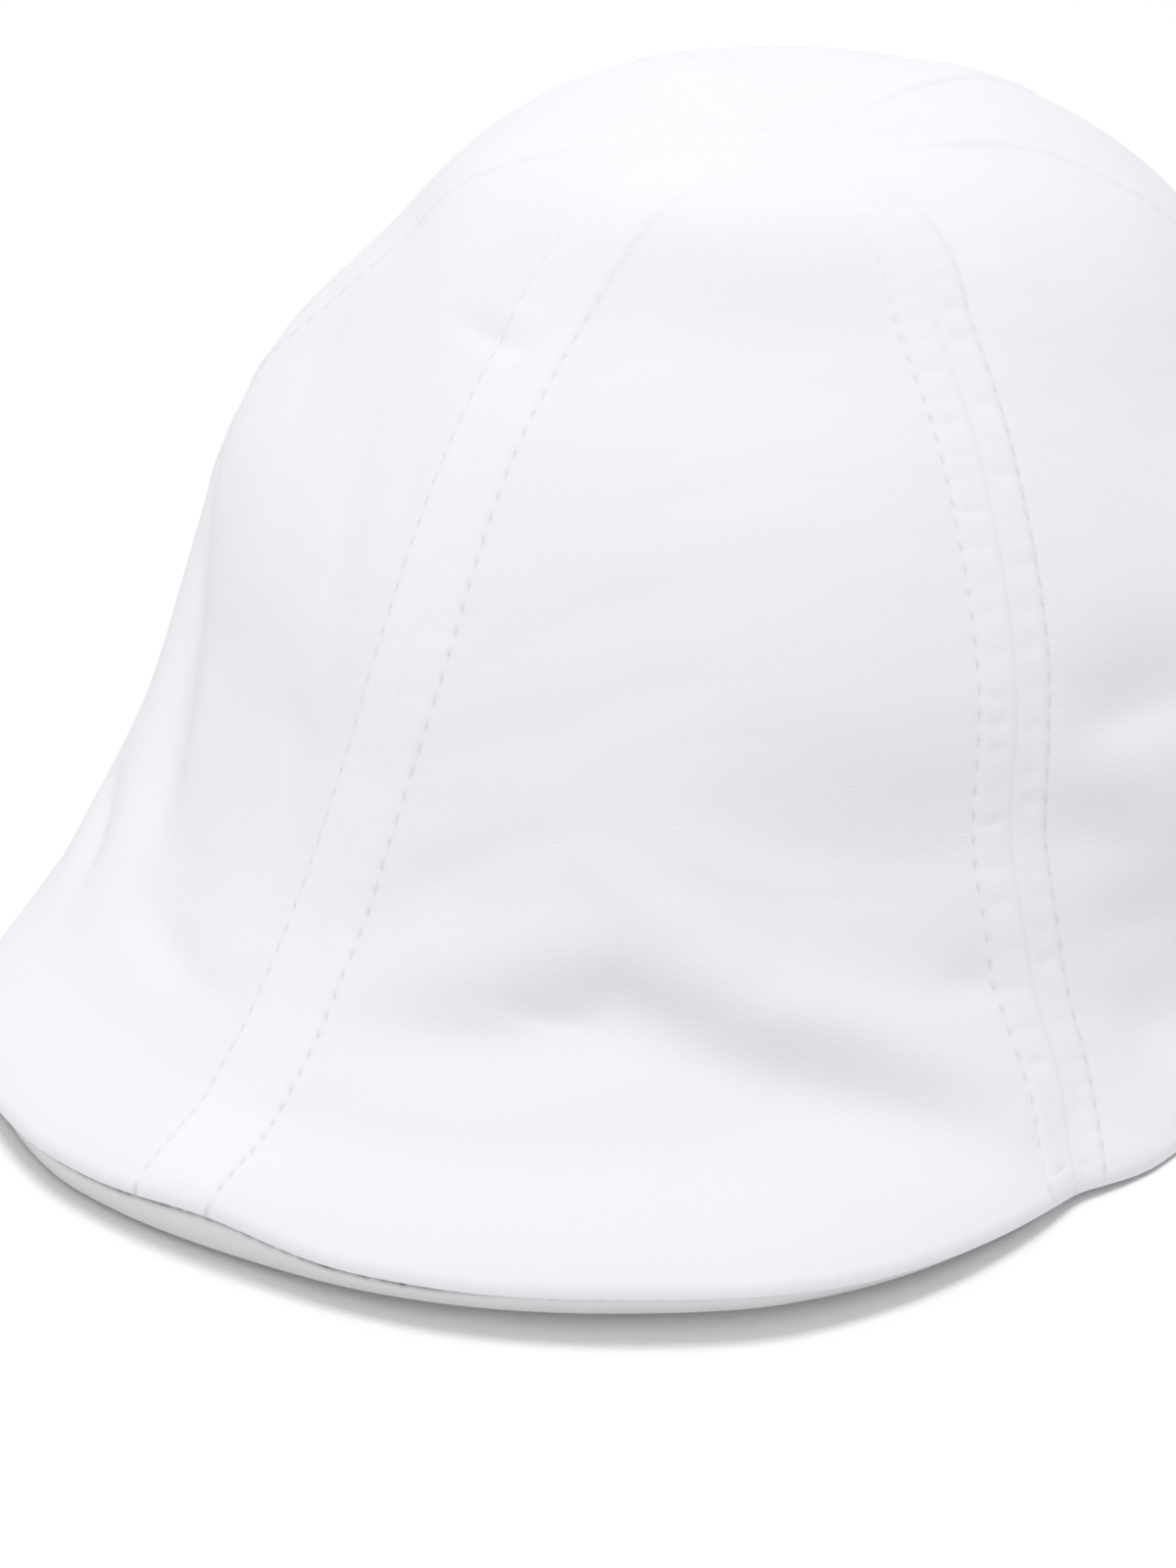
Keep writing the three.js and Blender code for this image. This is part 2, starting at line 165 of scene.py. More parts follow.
# One row for each place along the peak's edge: the height of its covered side, how far the seam stands out,
# and the gap between the side's lower edge and the floor. The peak bows up a little in front.
EDGE_COLUMNS = ("across", "height", "reach", "gap")
EDGE_ROWS = [
    (-6, 0.6, 0, 0),
    (-3, 0.8, -2.5, 0.2),
    (-2.4, 1.4, -4, 0.5),
    (-1.9, 2.2, -0.2, 0.8),
    (-1.6, 3.6, -0.3, 0.8),
    (-1.35, 5.1, 1.2, 0.8),
    (-1.2, 5.3, 0.7, 0.9),
    (-1, 6.8, 0.1, 1.1),
    (-0.91, 6.8, 0, 1.2),
    (-0.82, 5.6, 0.3, 1.4),
    (-0.7, 4.5, 1.1, 1.7),
    (-0.45, 4.2, 2.1, 2.3),
    (-0.15, 4.3, 2.6, 2.6),
    (0.1, 3.9, 3.6, 2.6),
    (0.26, 3.2, 2.9, 2.3),
    (0.44, 2.7, 1.6, 1.9),
    (0.65, 2.3, -0.3, 1.3),
    (0.87, 1.9, -2.2, 0.7),
    (1.02, 1.2, -3.6, 0.4),
    (1.3, 0.5, 0.4, 0.3),
    (1.6, 0.5, 2, 0.3),
    (2.4, 0.5, 0, 0.2),
    (6, 0.6, 0, 0),
]

# Each value of the edge is the mean of five places, this far to both sides. The seam moves by so much in x
# and y for each millimetre of gap, which keeps its place in the view.
EDGE_BLUR = 0.05
EDGE_LEAN = (0.317, -2.016)

# The cloth turns down over the edge in its last stretch, to an angle in degrees. Over a longer stretch it is
# brought to the seam line. The relief of its seams fades out in the last millimetres.
EDGE_ROLL = 1.2
EDGE_ROLL_END = 84
LEAST_TURN = 0.1
EDGE_FADE = 26
RELIEF_ENDS = 3

# One row for each seam: how far its two topstitch rows stand from it, its groove, its puckers, how white
# its pressed allowances look, and the run from the apex over which its relief comes in.
# The groove also sets how dark the painted shade along the seam's line is
SEAMS = {
    -5: (6.2, 0.2, 0.8, 0.2, (50, 130)),
    -3: (6.2, 0.2, 0.8, 0.2, (40, 120)),
    -1: (6.6, 0, 0.35, 0.5, (26, 80)),
    1: (6, 0.16, 1.2, 0.2, (26, 80)),
    3: (6.2, 0.2, 0.8, 0.2, (40, 120)),
    5: (6.2, 0.2, 0.8, 0.2, (50, 130)),
    7: (6.2, 0.2, 0.8, 0.2, (50, 130)),
}

# A panel's grid: a band of fine columns beside each seam, and fine rows in the last millimetres
SEAM_BAND_REACH = 9.5
SEAM_BAND_SHARE = 0.3
SEAM_BAND_COLUMNS = 22
FINE_EDGE = 5
FINE_ROWS = 24
LENGTH_SAMPLES = 500
WIDTH_SAMPLES = 161

# The seams: the allowances pressed to each side, and a row of topstitches on each. The step where an
# allowance ends is given from its topstitch row.
SEAM_LIFT = 0.4
LIFT_COMES_IN = (3, 40)
LIFT_STEP = (-0.7, 1.1)
SEAM_GROOVE_WIDTH = 0.6
ROW_DIP = 0.2
ROW_DIP_WIDTH = 0.7
STITCH_PITCH = 3.75
NEEDLE_DIP = 0.15
NEEDLE_RADIUS = 0.7

# The puckers along a seam: where they start and end, the ranges of their depth, half width and spacing, and
# the share and width of each beyond the topstitch row
PUCKERS_FROM = 14.0
PUCKERS_TO = 260
PUCKER_DEPTH = (0.03, 0.24)
PUCKER_WIDTH = (0.8, 1.5)
PUCKER_SPACING = (3.6, 7.2)
PUCKER_BEYOND = 0.35
PUCKER_BEYOND_WIDTH = 1.6

# The unevenness of the cloth, as the size and height of two sets of waves
SOFT_WAVES = [(34, 0.16), (13, 0.05)]
WAVES_IN_SET = 14
WAVE_SPREAD = (0.6, 1.7)

# Where the cloth's colour changes beside a seam: the width of its line of painted shade in the groove, the
# width and length of the painted shade in its needle holes, the soft end of the whiter allowance, and the
# run from the apex over which that allowance comes in
SEAM_LINE_WIDTH = 0.45
HOLE_WIDTH = 0.4
HOLE_LENGTH = 0.85
ALLOWANCE_SOFT_END = 0.6
ALLOWANCE_COMES_IN = (8, 55)

CLOTH_WALL = 1.2
RIM_ANGLE = 50

# The topstitches: the seams they follow, the thread's size, how far it stands out and its ends dip, the part
# of it at one end that is painted dark as its shadow, and how far before the edge a row ends. The samples
# and the reach beside a seam find a row's place on the shell.
STITCH_ROWS_ON = (-5, -3, -1, 1, 3, 5)
THREAD_WIDTH = 0.5
STITCH_LENGTH = 2.9
STITCH_LIFT = 0.12
STITCH_DIP = 0.28
STITCH_SIDES = 6
STITCH_RINGS = 8
SHADED_END = (0.15, 0.45)
ROWS_END_SHORT = 6
ROW_SAMPLES = 900
BESIDE_REACH = 1.5
BESIDE_SHARE = 0.98
BESIDE_SAMPLES = 60

# The covered board under the peak: its side, which shows under the cloth's edge, the strip that turns under
# it, and the hollow underside up to the head opening. The side's foot stands back from the seam by a base
# and a share of the gap below it.
BOARD_END = 2.45
BOARD_COLUMNS = 1100
SIDE_RINGS = 15
TURN_RINGS = 6
UNDERSIDE_RINGS = 10
SIDE_RECESS = 0.7
SIDE_BULGE = 0.25
SIDE_UNDERCUT = 0.5
UNDERCUT_SHARE = 0.95
RIM_INSET = 10
RIM_FOOT = 0.05
BOARD_COVER_WALL = 1.6
BOARD_ROOT_HEIGHT = 27
BOARD_ROOT_LEAST = 2
BOARD_ROOT_DROP = 2.4
BOARD_HOLLOW = 0.15
BOARD_ANGLE_SHARE = 0.64
ROOT_OUTSET = 0.6

# The painted shade on the board's side: dark needle holes at random places along it, and a painted shadow
# line under the cloth's edge. The line is rough, darker and a little lower where the seam is pulled open.
# That comes in between the first two places across and ends between the last two.
SIDE_HOLE_SPACING = (2, 8)
SIDE_HOLE_STRENGTH = (0.3, 1)
SIDE_HOLE_WIDTH = 0.35
SIDE_HOLE_DOWN = 0.75
SIDE_HOLE_SHADE = 2.2
PULLED_SEAM = (-1.7, -1.4, -0.6, -0.3)
PULLED_ROUGHNESS = (0.2, 1)
ROUGH_BLUR = 3
SIDE_LINE_DOWN = 0.6
SIDE_LINE_WIDTH = 0.6
SIDE_LINE_SHADE = 0.4
PULLED_DOWN = 0.5
PULLED_SHADE = 2

# The head opening and the sweatband round it, with painted shade along a line of stitches near both its
# edges
OPENING_HALF_WIDTH = 86.6
OPENING_FRONT = 112
OPENING_BACK = 89.6
SWEATBAND_HEIGHT = 27
SWEATBAND_FRONT_LIFT = 24
SWEATBAND_FOOT = 0.3
SWEATBAND_WALL = 1.4
SWEATBAND_COLUMNS = 300
SWEATBAND_ROWS = 16
SWAY_HEIGHT = 52
TAPE_STITCH_INSET = 2
TAPE_STITCH_WIDTH = 0.8
TAPE_STITCH_SHADE = 0.35
MERGE_DISTANCE = 1e-5

# The sweatband's waves: how many there are round it, how high they stand at its upper edge, and their phase
TAPE_WAVES = [(5, 0.5, 1), (11, 0.3, 0)]

# The camera. The focal length is in pixels of the photograph, whose long side is given too.
VIEW_AZIMUTH = 8.93
VIEW_ELEVATION = 26.1
VIEW_DISTANCE = 1216
VIEW_AIM = (-23.9, -60, 21.4)
FOCAL_PIXELS = 7800
LONG_SIDE_PIXELS = 1600
SENSOR_WIDTH = 36

# The studio: a white floor, an even white room and one large lamp above the crown
FLOOR_SIZE = 8
FLOOR_WHITE = 0.995
ROOM_BRIGHTNESS = 0.61
KEY_LIGHT = {"azimuth": 241, "elevation": 84, "distance": 1.6, "size": 0.8, "power": 11.8}
LIGHT_AIM = (0, 0, 0.04)

# The cloth's colours. The pressed allowances are whiter, because the cloth is doubled there.
CLOTH_COLOUR = (0.882, 0.878, 0.917)
ALLOWANCE_COLOUR = (0.915, 0.911, 0.94)
# The board's cover is darker, as painted shade: its side faces out and down over the shadowed floor under
# the peak
BOARD_SHADED_COLOUR = (0.83, 0.827, 0.845)
THREAD_COLOUR = (0.97, 0.97, 0.98)
# Painted shadow at one end of each stitch, and how much painted shade darkens the needle holes and seam
# lines
STITCH_SHADOW_COLOUR = (0.09, 0.09, 0.1)
HOLE_SHADE = 0.2
LINE_SHADE = 0.35

# The poplin's weave: ribs that are long across the cloth and fine along it, counted in a metre, and a grain.
# Its height is in metres.
RIBS_PER_METRE = (480, 3000)
RIB_RELIEF = 1.6
RIB_SHADE = 0.03
GRAIN_PER_METRE = 2200
WEAVE_STRENGTH = 0.35
WEAVE_HEIGHT = 0.00008
CLOTH_ROUGHNESS = 0.95
CLOTH_SHEEN = 0.12

# The thread's sheen and its twisted fibres, also in metres
THREAD_ROUGHNESS = 0.6
TWIST_PER_METRE = 4000
TWIST_STRENGTH = 0.4
TWIST_HEIGHT = 0.00005

# Where the crown's middle lies in the CAD's frame, from the rear panel's box
lowest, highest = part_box("rear_panel")
CROWN_MIDDLE = np.array([
    (lowest[0] / MM + highest[0] / MM) / 2,
    highest[1] / MM - MIDDLE_TO_BACK,
    0.0,
])


# Small helpers

def deselect_all():
    bpy.ops.object.select_all(action="DESELECT")


def make_active(piece):
    deselect_all()
    piece.select_set(True)
    bpy.context.view_layer.objects.active = piece


def smooth_step(low, high, value):
    """Rises smoothly from 0 at the low value to 1 at the high one."""
    share = np.clip((value - low) / (high - low), 0, 1)
    return share * share * (3 - 2 * share)


def bump(value, width):
    """A smooth bump that is 1 where the value is 0."""
    return np.exp(-((value / width) ** 2))


def to_cad_frame(points):
    """From millimetres in the cap's own frame to metres in the CAD's."""
    return (points + CROWN_MIDDLE) * MM


# The smooth shell

def section_value(column, down):
    """A column of the section table at any place down the shell, on a smooth curve."""
    knots = np.array([row[SECTION_COLUMNS.index(column)] for row in SECTIONS], float)
    before = 2 * knots[0] - knots[1]
    after = 2 * knots[-1] - knots[-2]
    knots = np.concatenate(([before], knots, [after]))
    span = np.clip(np.floor(down).astype(int), 0, LAST_ROW - 1)
    rest = down - span
    a, b, c, d = (knots[span + k] for k in range(4))
    start, end = (c - a) / 2, (d - b) / 2
    square = 3 * (c - b) - 2 * start - end
    cube = 2 * (b - c) + start + end
    return b + start * rest + square * rest**2 + cube * rest**3


def shell(across, down):
    """Points of the smooth shell. Down counts the rows of the section table.

    Across counts half panels from the front centre: the front seams are at 1 and -1, the side seams at 3,
    the rear seams at 5 and the centre back at 6.
    """
    across, down = np.broadcast_arrays(np.asarray(across, float), np.asarray(down, float))
    across = np.where(across > 6, across - 12, across)
    front, half, back, z_front, z_side, z_back, seam, peak = (
        section_value(column, down) for column in SHAPE_COLUMNS
    )
    peak = np.maximum(peak, 0)
    lean = peak**SWAY_POWER
    widest = PEAK_WIDEST_Y * peak
    flare = PEAK_FLARE * peak
    back = np.maximum(back, NEAR)
    side_angle = 90 + np.degrees(np.arcsin(np.clip(-widest / (back - widest), 0, 1)))
    halves = np.abs(across)
    angle = np.where(halves <= 1, seam * halves, seam + (side_angle - seam) * (halves - 1) / 2)
    angle = np.where(halves > 3, side_angle + (REAR_SEAM_ANGLE - side_angle) * (halves - 3) / 2, angle)
    angle = np.where(halves > 5, REAR_SEAM_ANGLE + (180 - REAR_SEAM_ANGLE) * (halves - 5), angle)
    pull = np.cos(np.clip(halves / 3, 0, 1) * math.pi / 2) ** 2
    angle = np.radians(angle * np.sign(across) + PEAK_TWIST * lean * pull)
    sine, cosine = np.sin(angle), np.cos(angle)
    in_front = cosine > 0
    y = np.where(in_front, widest - (front + widest) * cosine, widest - (back - widest) * cosine)
    behind = np.clip(y / back, 0, 1)
    past = np.clip((y - widest) / FLARE_LENGTH, 0, 1)
    rear_half = half * np.sqrt(1 - behind**2) + flare * (1 + np.cos(math.pi * past)) / 2
    x = np.where(in_front, (half + flare) * sine, rear_half * np.sign(sine))
    z = np.where(
        in_front,
        z_side + (z_front - z_side) * cosine**2,
        z_side + (z_back - z_side) * smooth_step(0, SIDE_BLEND, -cosine),
    )
    tip = 1 - smooth_step(0, TIP_FADE, down)
    x = x + PEAK_SWAY * lean * (1 - smooth_step(SWAY_FRONT_Y, SWAY_BACK_Y, y)) + TIP_X * tip
    return np.stack([x, y + TIP_Y * tip, z], -1)


def shell_normal(across, down):
    """The way out of the smooth shell."""
    along = shell(across + NORMAL_STEP, down) - shell(across - NORMAL_STEP, down)
    upper = shell(across, np.maximum(down - NORMAL_STEP, LEAST_DOWN))
    lower = shell(across, np.minimum(down + NORMAL_STEP, LAST_ROW))
    normal = np.cross(along, upper - lower)
    return normal / np.linalg.norm(normal, axis=-1, keepdims=True)


def seam_across(seam, down):
    """Where a seam lies across the shell at places down it."""
    if seam in SHIFTED_SEAMS:
        return seam + section_value(SHIFTED_SEAMS[seam], down)
    return np.full_like(down, float(seam))


def run_length(points, axis=0):
    """The length run along a line of points, or along each line of a grid."""
    step = np.linalg.norm(np.diff(points, axis=axis), axis=-1)
    total = np.cumsum(step, axis=axis)
    return np.concatenate([np.zeros_like(np.take(total, [0], axis=axis)), total], axis=axis)


def fold_depth(points):
    """How deep the folds press the cloth in at points of the smooth shell. Each thins towards its ends."""
    depth = np.zeros(points.shape[:-1])
    for path, above, below, deep in FOLDS:
        knots = shell(*np.array(path).T)
        uphill = shell(path[0][0], path[0][1] - FOLD_STEP) - knots[0]
        uphill /= np.linalg.norm(uphill)
        run = run_length(knots)
        best = np.full(depth.shape, np.inf)
        along, side = np.zeros(depth.shape), np.zeros(depth.shape)
        for k in range(len(path) - 1):
            step = knots[k + 1] - knots[k]
            share = np.clip(((points - knots[k]) @ step) / (step @ step), 0, 1)
            away = points - knots[k] - share[..., None] * step
            reach = np.linalg.norm(away, axis=-1)
            nearer = reach < best
            best = np.where(nearer, reach, best)
            along = np.where(nearer, run[k] + share * (run[k + 1] - run[k]), along)
            side = np.where(nearer, (away @ uphill) / np.maximum(reach, NEAR), side)
        width = below + (above - below) * (1 + side) / 2
        taper = np.sin(math.pi * np.clip(FOLD_END + (1 - 2 * FOLD_END) * along / run[-1], 0, 1))
        depth += deep * taper * bump(best, width)
    return depth


# Camera and light

def direction(azimuth, elevation):
    """A direction out from the cap. Azimuth 0 is its front, and 90 is the wearer's left."""
    a, e = math.radians(azimuth), math.radians(elevation)
    return np.array([math.sin(a) * math.cos(e), -math.cos(a) * math.cos(e), math.sin(e)])


def aim(thing, place, target):
    """Puts a camera or a light at a place and points it at the target."""
    thing.location = Vector(place)
    thing.rotation_euler = (Vector(target) - Vector(place)).to_track_quat("-Z", "Y").to_euler()


def add_camera():
    deselect_all()
    bpy.ops.object.camera_add()
    camera = bpy.context.active_object
    camera.name = "photo_view"
    camera.data.sensor_width = SENSOR_WIDTH
    camera.data.lens = FOCAL_PIXELS * SENSOR_WIDTH / LONG_SIDE_PIXELS
    target = to_cad_frame(np.array(VIEW_AIM))
    aim(camera, target + direction(VIEW_AZIMUTH, VIEW_ELEVATION) * VIEW_DISTANCE * MM, target)
    bpy.context.scene.camera = camera


def add_softbox(name, azimuth, elevation, distance, size, power):
    deselect_all()
    bpy.ops.object.light_add(type="AREA")
    light = bpy.context.active_object
    light.name = name
    light.data.shape = "DISK"
    light.data.size = size
    light.data.energy = power
    aim(light, direction(azimuth, elevation) * distance, LIGHT_AIM)


def add_studio():
    deselect_all()
    bpy.ops.mesh.primitive_plane_add(size=FLOOR_SIZE)
    floor = bpy.context.active_object
    floor.name = "floor"
    material = bpy.data.materials.new("white_sweep")
    material.use_nodes = True
    shader = material.node_tree.nodes["Principled BSDF"]
    shader.inputs["Base Color"].default_value = (FLOOR_WHITE, FLOOR_WHITE, FLOOR_WHITE, 1)
    shader.inputs["Roughness"].default_value = 1
    floor.data.materials.append(material)
    world = bpy.data.worlds.new("white_room")
    world.use_nodes = True
    world.node_tree.nodes["Background"].inputs["Color"].default_value = (1, 1, 1, 1)
    world.node_tree.nodes["Background"].inputs["Strength"].default_value = ROOM_BRIGHTNESS
    bpy.context.scene.world = world
    bpy.context.scene.view_settings.view_transform = "Standard"
    add_softbox("top_softbox", **KEY_LIGHT)


# The peak's edge

def edge_value(column, across):
    """A column of the edge table at any place across, smoothed a little."""
    table = np.array(EDGE_ROWS)
    places, values = table[:, 0], table[:, EDGE_COLUMNS.index(column)]
    shifts = [share * EDGE_BLUR for share in (-1, -0.5, 0, 0.5, 1)]
    return np.mean([np.interp(across + shift, places, values) for shift in shifts], axis=0)


def edge_outwards(across):
    """The level direction that points out of the cap at its edge."""
    along = shell(across + EDGE_STEP, LAST_ROW) - shell(across - EDGE_STEP, LAST_ROW)
    out = np.cross(along, [0, 0, 1.0])
    return out / np.linalg.norm(out, axis=-1, keepdims=True)


def seam_line(across):
    """Points on the seam between the panels and the covered board."""
    points = shell(across, LAST_ROW) + edge_outwards(across) * edge_value("reach", across)[..., None]
    gap = edge_value("gap", across)
    points[..., :2] += gap[..., None] * np.array(EDGE_LEAN)
    points[..., 2] = edge_value("height", across) + gap
    return points


def roll_to_edge(points, across, to_edge):
    """Turns the cloth down over the edge on an arc that keeps its length, and takes it to the seam line."""
    last, before = shell(across, LAST_ROW), shell(across, LAST_ROW - EDGE_SLOPE_STEP)
    level = np.linalg.norm((last - before)[..., :2], axis=-1)
    start = np.arctan2(before[..., 2] - last[..., 2], level)
    into = np.clip(EDGE_ROLL - to_edge, 0, None)
    turn = np.maximum(math.radians(EDGE_ROLL_END) - start, LEAST_TURN) / EDGE_ROLL
    reach = (np.sin(start + turn * into) - np.sin(start)) / turn - into * np.cos(start)
    drop = (np.cos(start + turn * into) - np.cos(start)) / turn + into * np.sin(start)
    up = np.array([0, 0, 1.0])
    rolled = points + edge_outwards(across) * reach[..., None] + up * drop[..., None]
    shift = seam_line(across[-1]) - rolled[-1]
    fade = 1 - smooth_step(0, EDGE_FADE, to_edge)
    return rolled + shift[None, :, :] * fade[..., None]


# The crown panels

def panel_places(start, end, middle_columns, rows):
    """The grid of a panel: for each point, its place on the shell and its distances.

    They are the distances from both seams, the runs from the apex along the middle and along the seams, and
    the distance left to the edge. The last is blended between the seams' own, so that two panels agree on it
    at the seam they share.
    """
    dense = np.linspace(TIP_ROW, LAST_ROW, LENGTH_SAMPLES)
    centre_run = run_length(shell((seam_across(start, dense) + seam_across(end, dense)) / 2, dense))
    length = centre_run[-1]
    upper = np.linspace(0, length - FINE_EDGE, rows - FINE_ROWS + 1)
    lower = np.linspace(length - FINE_EDGE, length, FINE_ROWS + 1)
    down = np.interp(np.concatenate([upper, lower[1:]]), centre_run, dense)
    share = np.linspace(0, 1, WIDTH_SAMPLES)
    first, last = seam_across(start, down)[:, None], seam_across(end, down)[:, None]
    line = first + (last - first) * share
    across_run = run_length(shell(line, down[:, None]), axis=1)
    width = across_run[:, -1:]
    band = np.minimum(SEAM_BAND_REACH, SEAM_BAND_SHARE * width)
    edge = np.linspace(0, 1, SEAM_BAND_COLUMNS + 1)[None, :]
    middle = np.linspace(0, 1, middle_columns + 1)[None, 1:-1]
    offset = np.hstack([band * edge, band + (width - 2 * band) * middle, width - band * edge[:, ::-1]])
    across = np.array([np.interp(offset[row], across_run[row], line[row]) for row in range(rows + 1)])
    down = np.repeat(down[:, None], across.shape[1], axis=1)
    run = np.interp(down, dense, centre_run)
    start_run = np.interp(down, dense, run_length(shell(seam_across(start, dense), dense)))
    end_run = np.interp(down, dense, run_length(shell(seam_across(end, dense), dense)))
    start_left, end_left = start_run[-1] - start_run, end_run[-1] - end_run
    return {
        "across": across,
        "down": down,
        "from_start": offset,
        "from_end": width - offset,
        "run": run,
        "to_edge": start_left + (end_left - start_left) * offset / width,
        "start_run": start_run,
        "end_run": end_run,
    }


def pucker_rows(name):
    """The puckers along the two seams of a panel: places along the seam, depths and half widths."""
    chance = random.Random(f"{SEED} {name}")
    rows = []
    for _ in range(2):
        place, puckers = PUCKERS_FROM, []
        while place < PUCKERS_TO:
            puckers.append((place, chance.uniform(*PUCKER_DEPTH), chance.uniform(*PUCKER_WIDTH)))
            place += chance.uniform(*PUCKER_SPACING)
        rows.append(puckers)
    return rows


def to_needle(run):
    """The distance along a row from the nearest needle hole, negative before it."""
    return (run + STITCH_PITCH / 2) % STITCH_PITCH - STITCH_PITCH / 2


def seam_relief(seam, distance, run, puckers):
    """The height of the cloth beside a seam: the allowance, the groove, the topstitches and the puckers."""
    offset, groove, pucker_scale, _, comes_in = SEAMS[seam]
    shown = smooth_step(*comes_in, run)
    pressed = 1 - smooth_step(offset + LIFT_STEP[0], offset + LIFT_STEP[1], distance)
    lift = SEAM_LIFT * pressed * smooth_step(*LIFT_COMES_IN, run)
    dip = groove * bump(distance, SEAM_GROOVE_WIDTH) * shown
    in_row = bump(distance - offset, ROW_DIP_WIDTH)
    needle = NEEDLE_DIP * bump(to_needle(run), NEEDLE_RADIUS)
    between = np.sin(math.pi * np.clip(distance / offset, 0, 1)) ** 2
    beyond = PUCKER_BEYOND * bump(distance - offset, PUCKER_BEYOND_WIDTH)
    pucker = pucker_scale * sum(deep * bump(run - place, width) for place, deep, width in puckers)
    return lift - dip - in_row * (ROW_DIP + needle) * shown - pucker * (between + beyond)


def soft_waves(points, size, amplitude):
    """Slight unevenness of the cloth, as a sum of a few waves of about the given size."""
    chance = random.Random(f"{SEED} cloth {size}")
    height = np.zeros(points.shape[:-1])
    for _ in range(WAVES_IN_SET):
        heading = np.array([chance.gauss(0, 1) for _ in range(3)])
        heading /= np.linalg.norm(heading)
        length = size * chance.uniform(*WAVE_SPREAD)
        phase = chance.uniform(0, 2 * math.pi)
        height += np.sin(points @ heading * 2 * math.pi / length + phase)
    return amplitude * height / math.sqrt(WAVES_IN_SET)


def panel_points(name, start, end, places):
    """Where the cloth of a panel lies, with its folds, seam edges and rolled edge."""
    across, down = places["across"], places["down"]
    smooth = shell(across, down)
    start_puckers, end_puckers = pucker_rows(name)
    height = seam_relief(start, places["from_start"], places["start_run"], start_puckers)
    height += seam_relief(end, places["from_end"], places["end_run"], end_puckers)
    height += sum(soft_waves(smooth, size, amplitude) for size, amplitude in SOFT_WAVES)
    height = height * smooth_step(0, RELIEF_ENDS, places["to_edge"]) - fold_depth(smooth)
    points = smooth + shell_normal(across, down) * height[..., None]
    return roll_to_edge(points, across, places["to_edge"])


def new_grid(name, columns, rows):
    """A flat grid from Blender's primitive, with its vertex numbers sorted by row and column."""
    deselect_all()
    bpy.ops.mesh.primitive_grid_add(x_subdivisions=columns, y_subdivisions=rows, size=2, calc_uvs=True)
    piece = bpy.context.active_object
    piece.name = name
    piece.data.name = name
    flat = np.zeros(len(piece.data.vertices) * 3)
    piece.data.vertices.foreach_get("co", flat)
    flat = flat.reshape(-1, 3).round(SORT_DIGITS)
    order = np.lexsort((flat[:, 0], flat[:, 1])).reshape(rows + 1, columns + 1)
    return piece, order


def shape_grid(piece, order, points):
    """Moves the vertices of a grid to the given points, in millimetres in the cap's frame."""
    placed = np.zeros((order.size, 3))
    placed[order.ravel()] = to_cad_frame(points).reshape(-1, 3)
    piece.data.vertices.foreach_set("co", placed.ravel())
    piece.data.update()


def set_grid_uv(piece, order, across, along):
    """Lays the UV map out in metres of cloth."""
    values = np.zeros((order.size, 2))
    values[order.ravel(), 0] = across.ravel() * MM
    values[order.ravel(), 1] = along.ravel() * MM
    loops = np.zeros(len(piece.data.loops), int)
    piece.data.loops.foreach_get("vertex_index", loops)
    piece.data.uv_layers.active.data.foreach_set("uv", values[loops].ravel())


def set_mask(piece, order, name, values):
    """Stores a value for each point of a grid, for the material to read."""
    mask = piece.data.attributes.new(name, "FLOAT", "POINT")
    placed = np.zeros(order.size)
    placed[order.ravel()] = values.ravel()
    mask.data.foreach_set("value", placed)


def thicken(piece, wall, offset=-1):
    """Gives the cloth its wall, none of it below the floor. The offset is -1 to put it behind the grid's
    faces, and 1 to put it before them."""
    make_active(piece)
    solid = piece.modifiers.new("wall", "SOLIDIFY")
    solid.thickness = wall * MM
    solid.offset = offset
    bpy.ops.object.modifier_apply(modifier=solid.name)
    places = np.zeros(len(piece.data.vertices) * 3)
    piece.data.vertices.foreach_get("co", places)
    places[2::3] = np.maximum(places[2::3], 0)
    piece.data.vertices.foreach_set("co", places)
    piece.data.update()
    bpy.ops.object.shade_smooth_by_angle(angle=math.radians(RIM_ANGLE))


def finish_piece(piece, node, material):
    """Gives a piece its material, and puts it in the place of its CAD node."""
    piece.data.materials.clear()
    piece.data.materials.append(material)
    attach(piece, "root")
    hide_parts(node)


def crown_panel(name, start, end, middle_columns, rows, material):
    """One panel of the crown: its cloth and its masks for the material."""
    places = panel_places(start, end, middle_columns, rows)
    piece, order = new_grid(name + "_cloth", places["across"].shape[1] - 1, rows)
    points = panel_points(name, start, end, places)
    shape_grid(piece, order, points)
    set_grid_uv(piece, order, (places["from_start"] - places["from_end"]) / 2, places["run"])
    # Masks for the material: painted shade in the needle holes and along each seam's groove, and the whiter
    # allowances
    needle_shade, bands, lines = 0, 0, 0
    for seam, side in ((start, "start"), (end, "end")):
        offset, groove, _, white, comes_in = SEAMS[seam]
        shown = smooth_step(*comes_in, places[side + "_run"])
        lines = lines + shown * groove * bump(places["from_" + side], SEAM_LINE_WIDTH)
        in_row = bump(places["from_" + side] - offset, HOLE_WIDTH)
        needle_shade = needle_shade + shown * in_row * bump(to_needle(places[side + "_run"]), HOLE_LENGTH)
        ends = (offset - ALLOWANCE_SOFT_END, offset + ALLOWANCE_SOFT_END)
        within = 1 - smooth_step(*ends, places["from_" + side])
        bands = bands + white * within * smooth_step(*ALLOWANCE_COMES_IN, places[side + "_run"])
    set_mask(piece, order, "needle", needle_shade)
    set_mask(piece, order, "band", bands)
    set_mask(piece, order, "seam", lines)
    thicken(piece, CLOTH_WALL)
    finish_piece(piece, name, material)


# The topstitches

def beside_seam(seam, side, offset, down):
    """Across, at a distance from a seam on one of its sides, for each place down."""
    share = np.linspace(0, BESIDE_SHARE, BESIDE_SAMPLES)
    across = seam_across(seam, down)[:, None] + side * share * BESIDE_REACH
    run = run_length(shell(across, down[:, None]), axis=1)
    return np.array([np.interp(offset, run[k], across[k]) for k in range(len(down))])


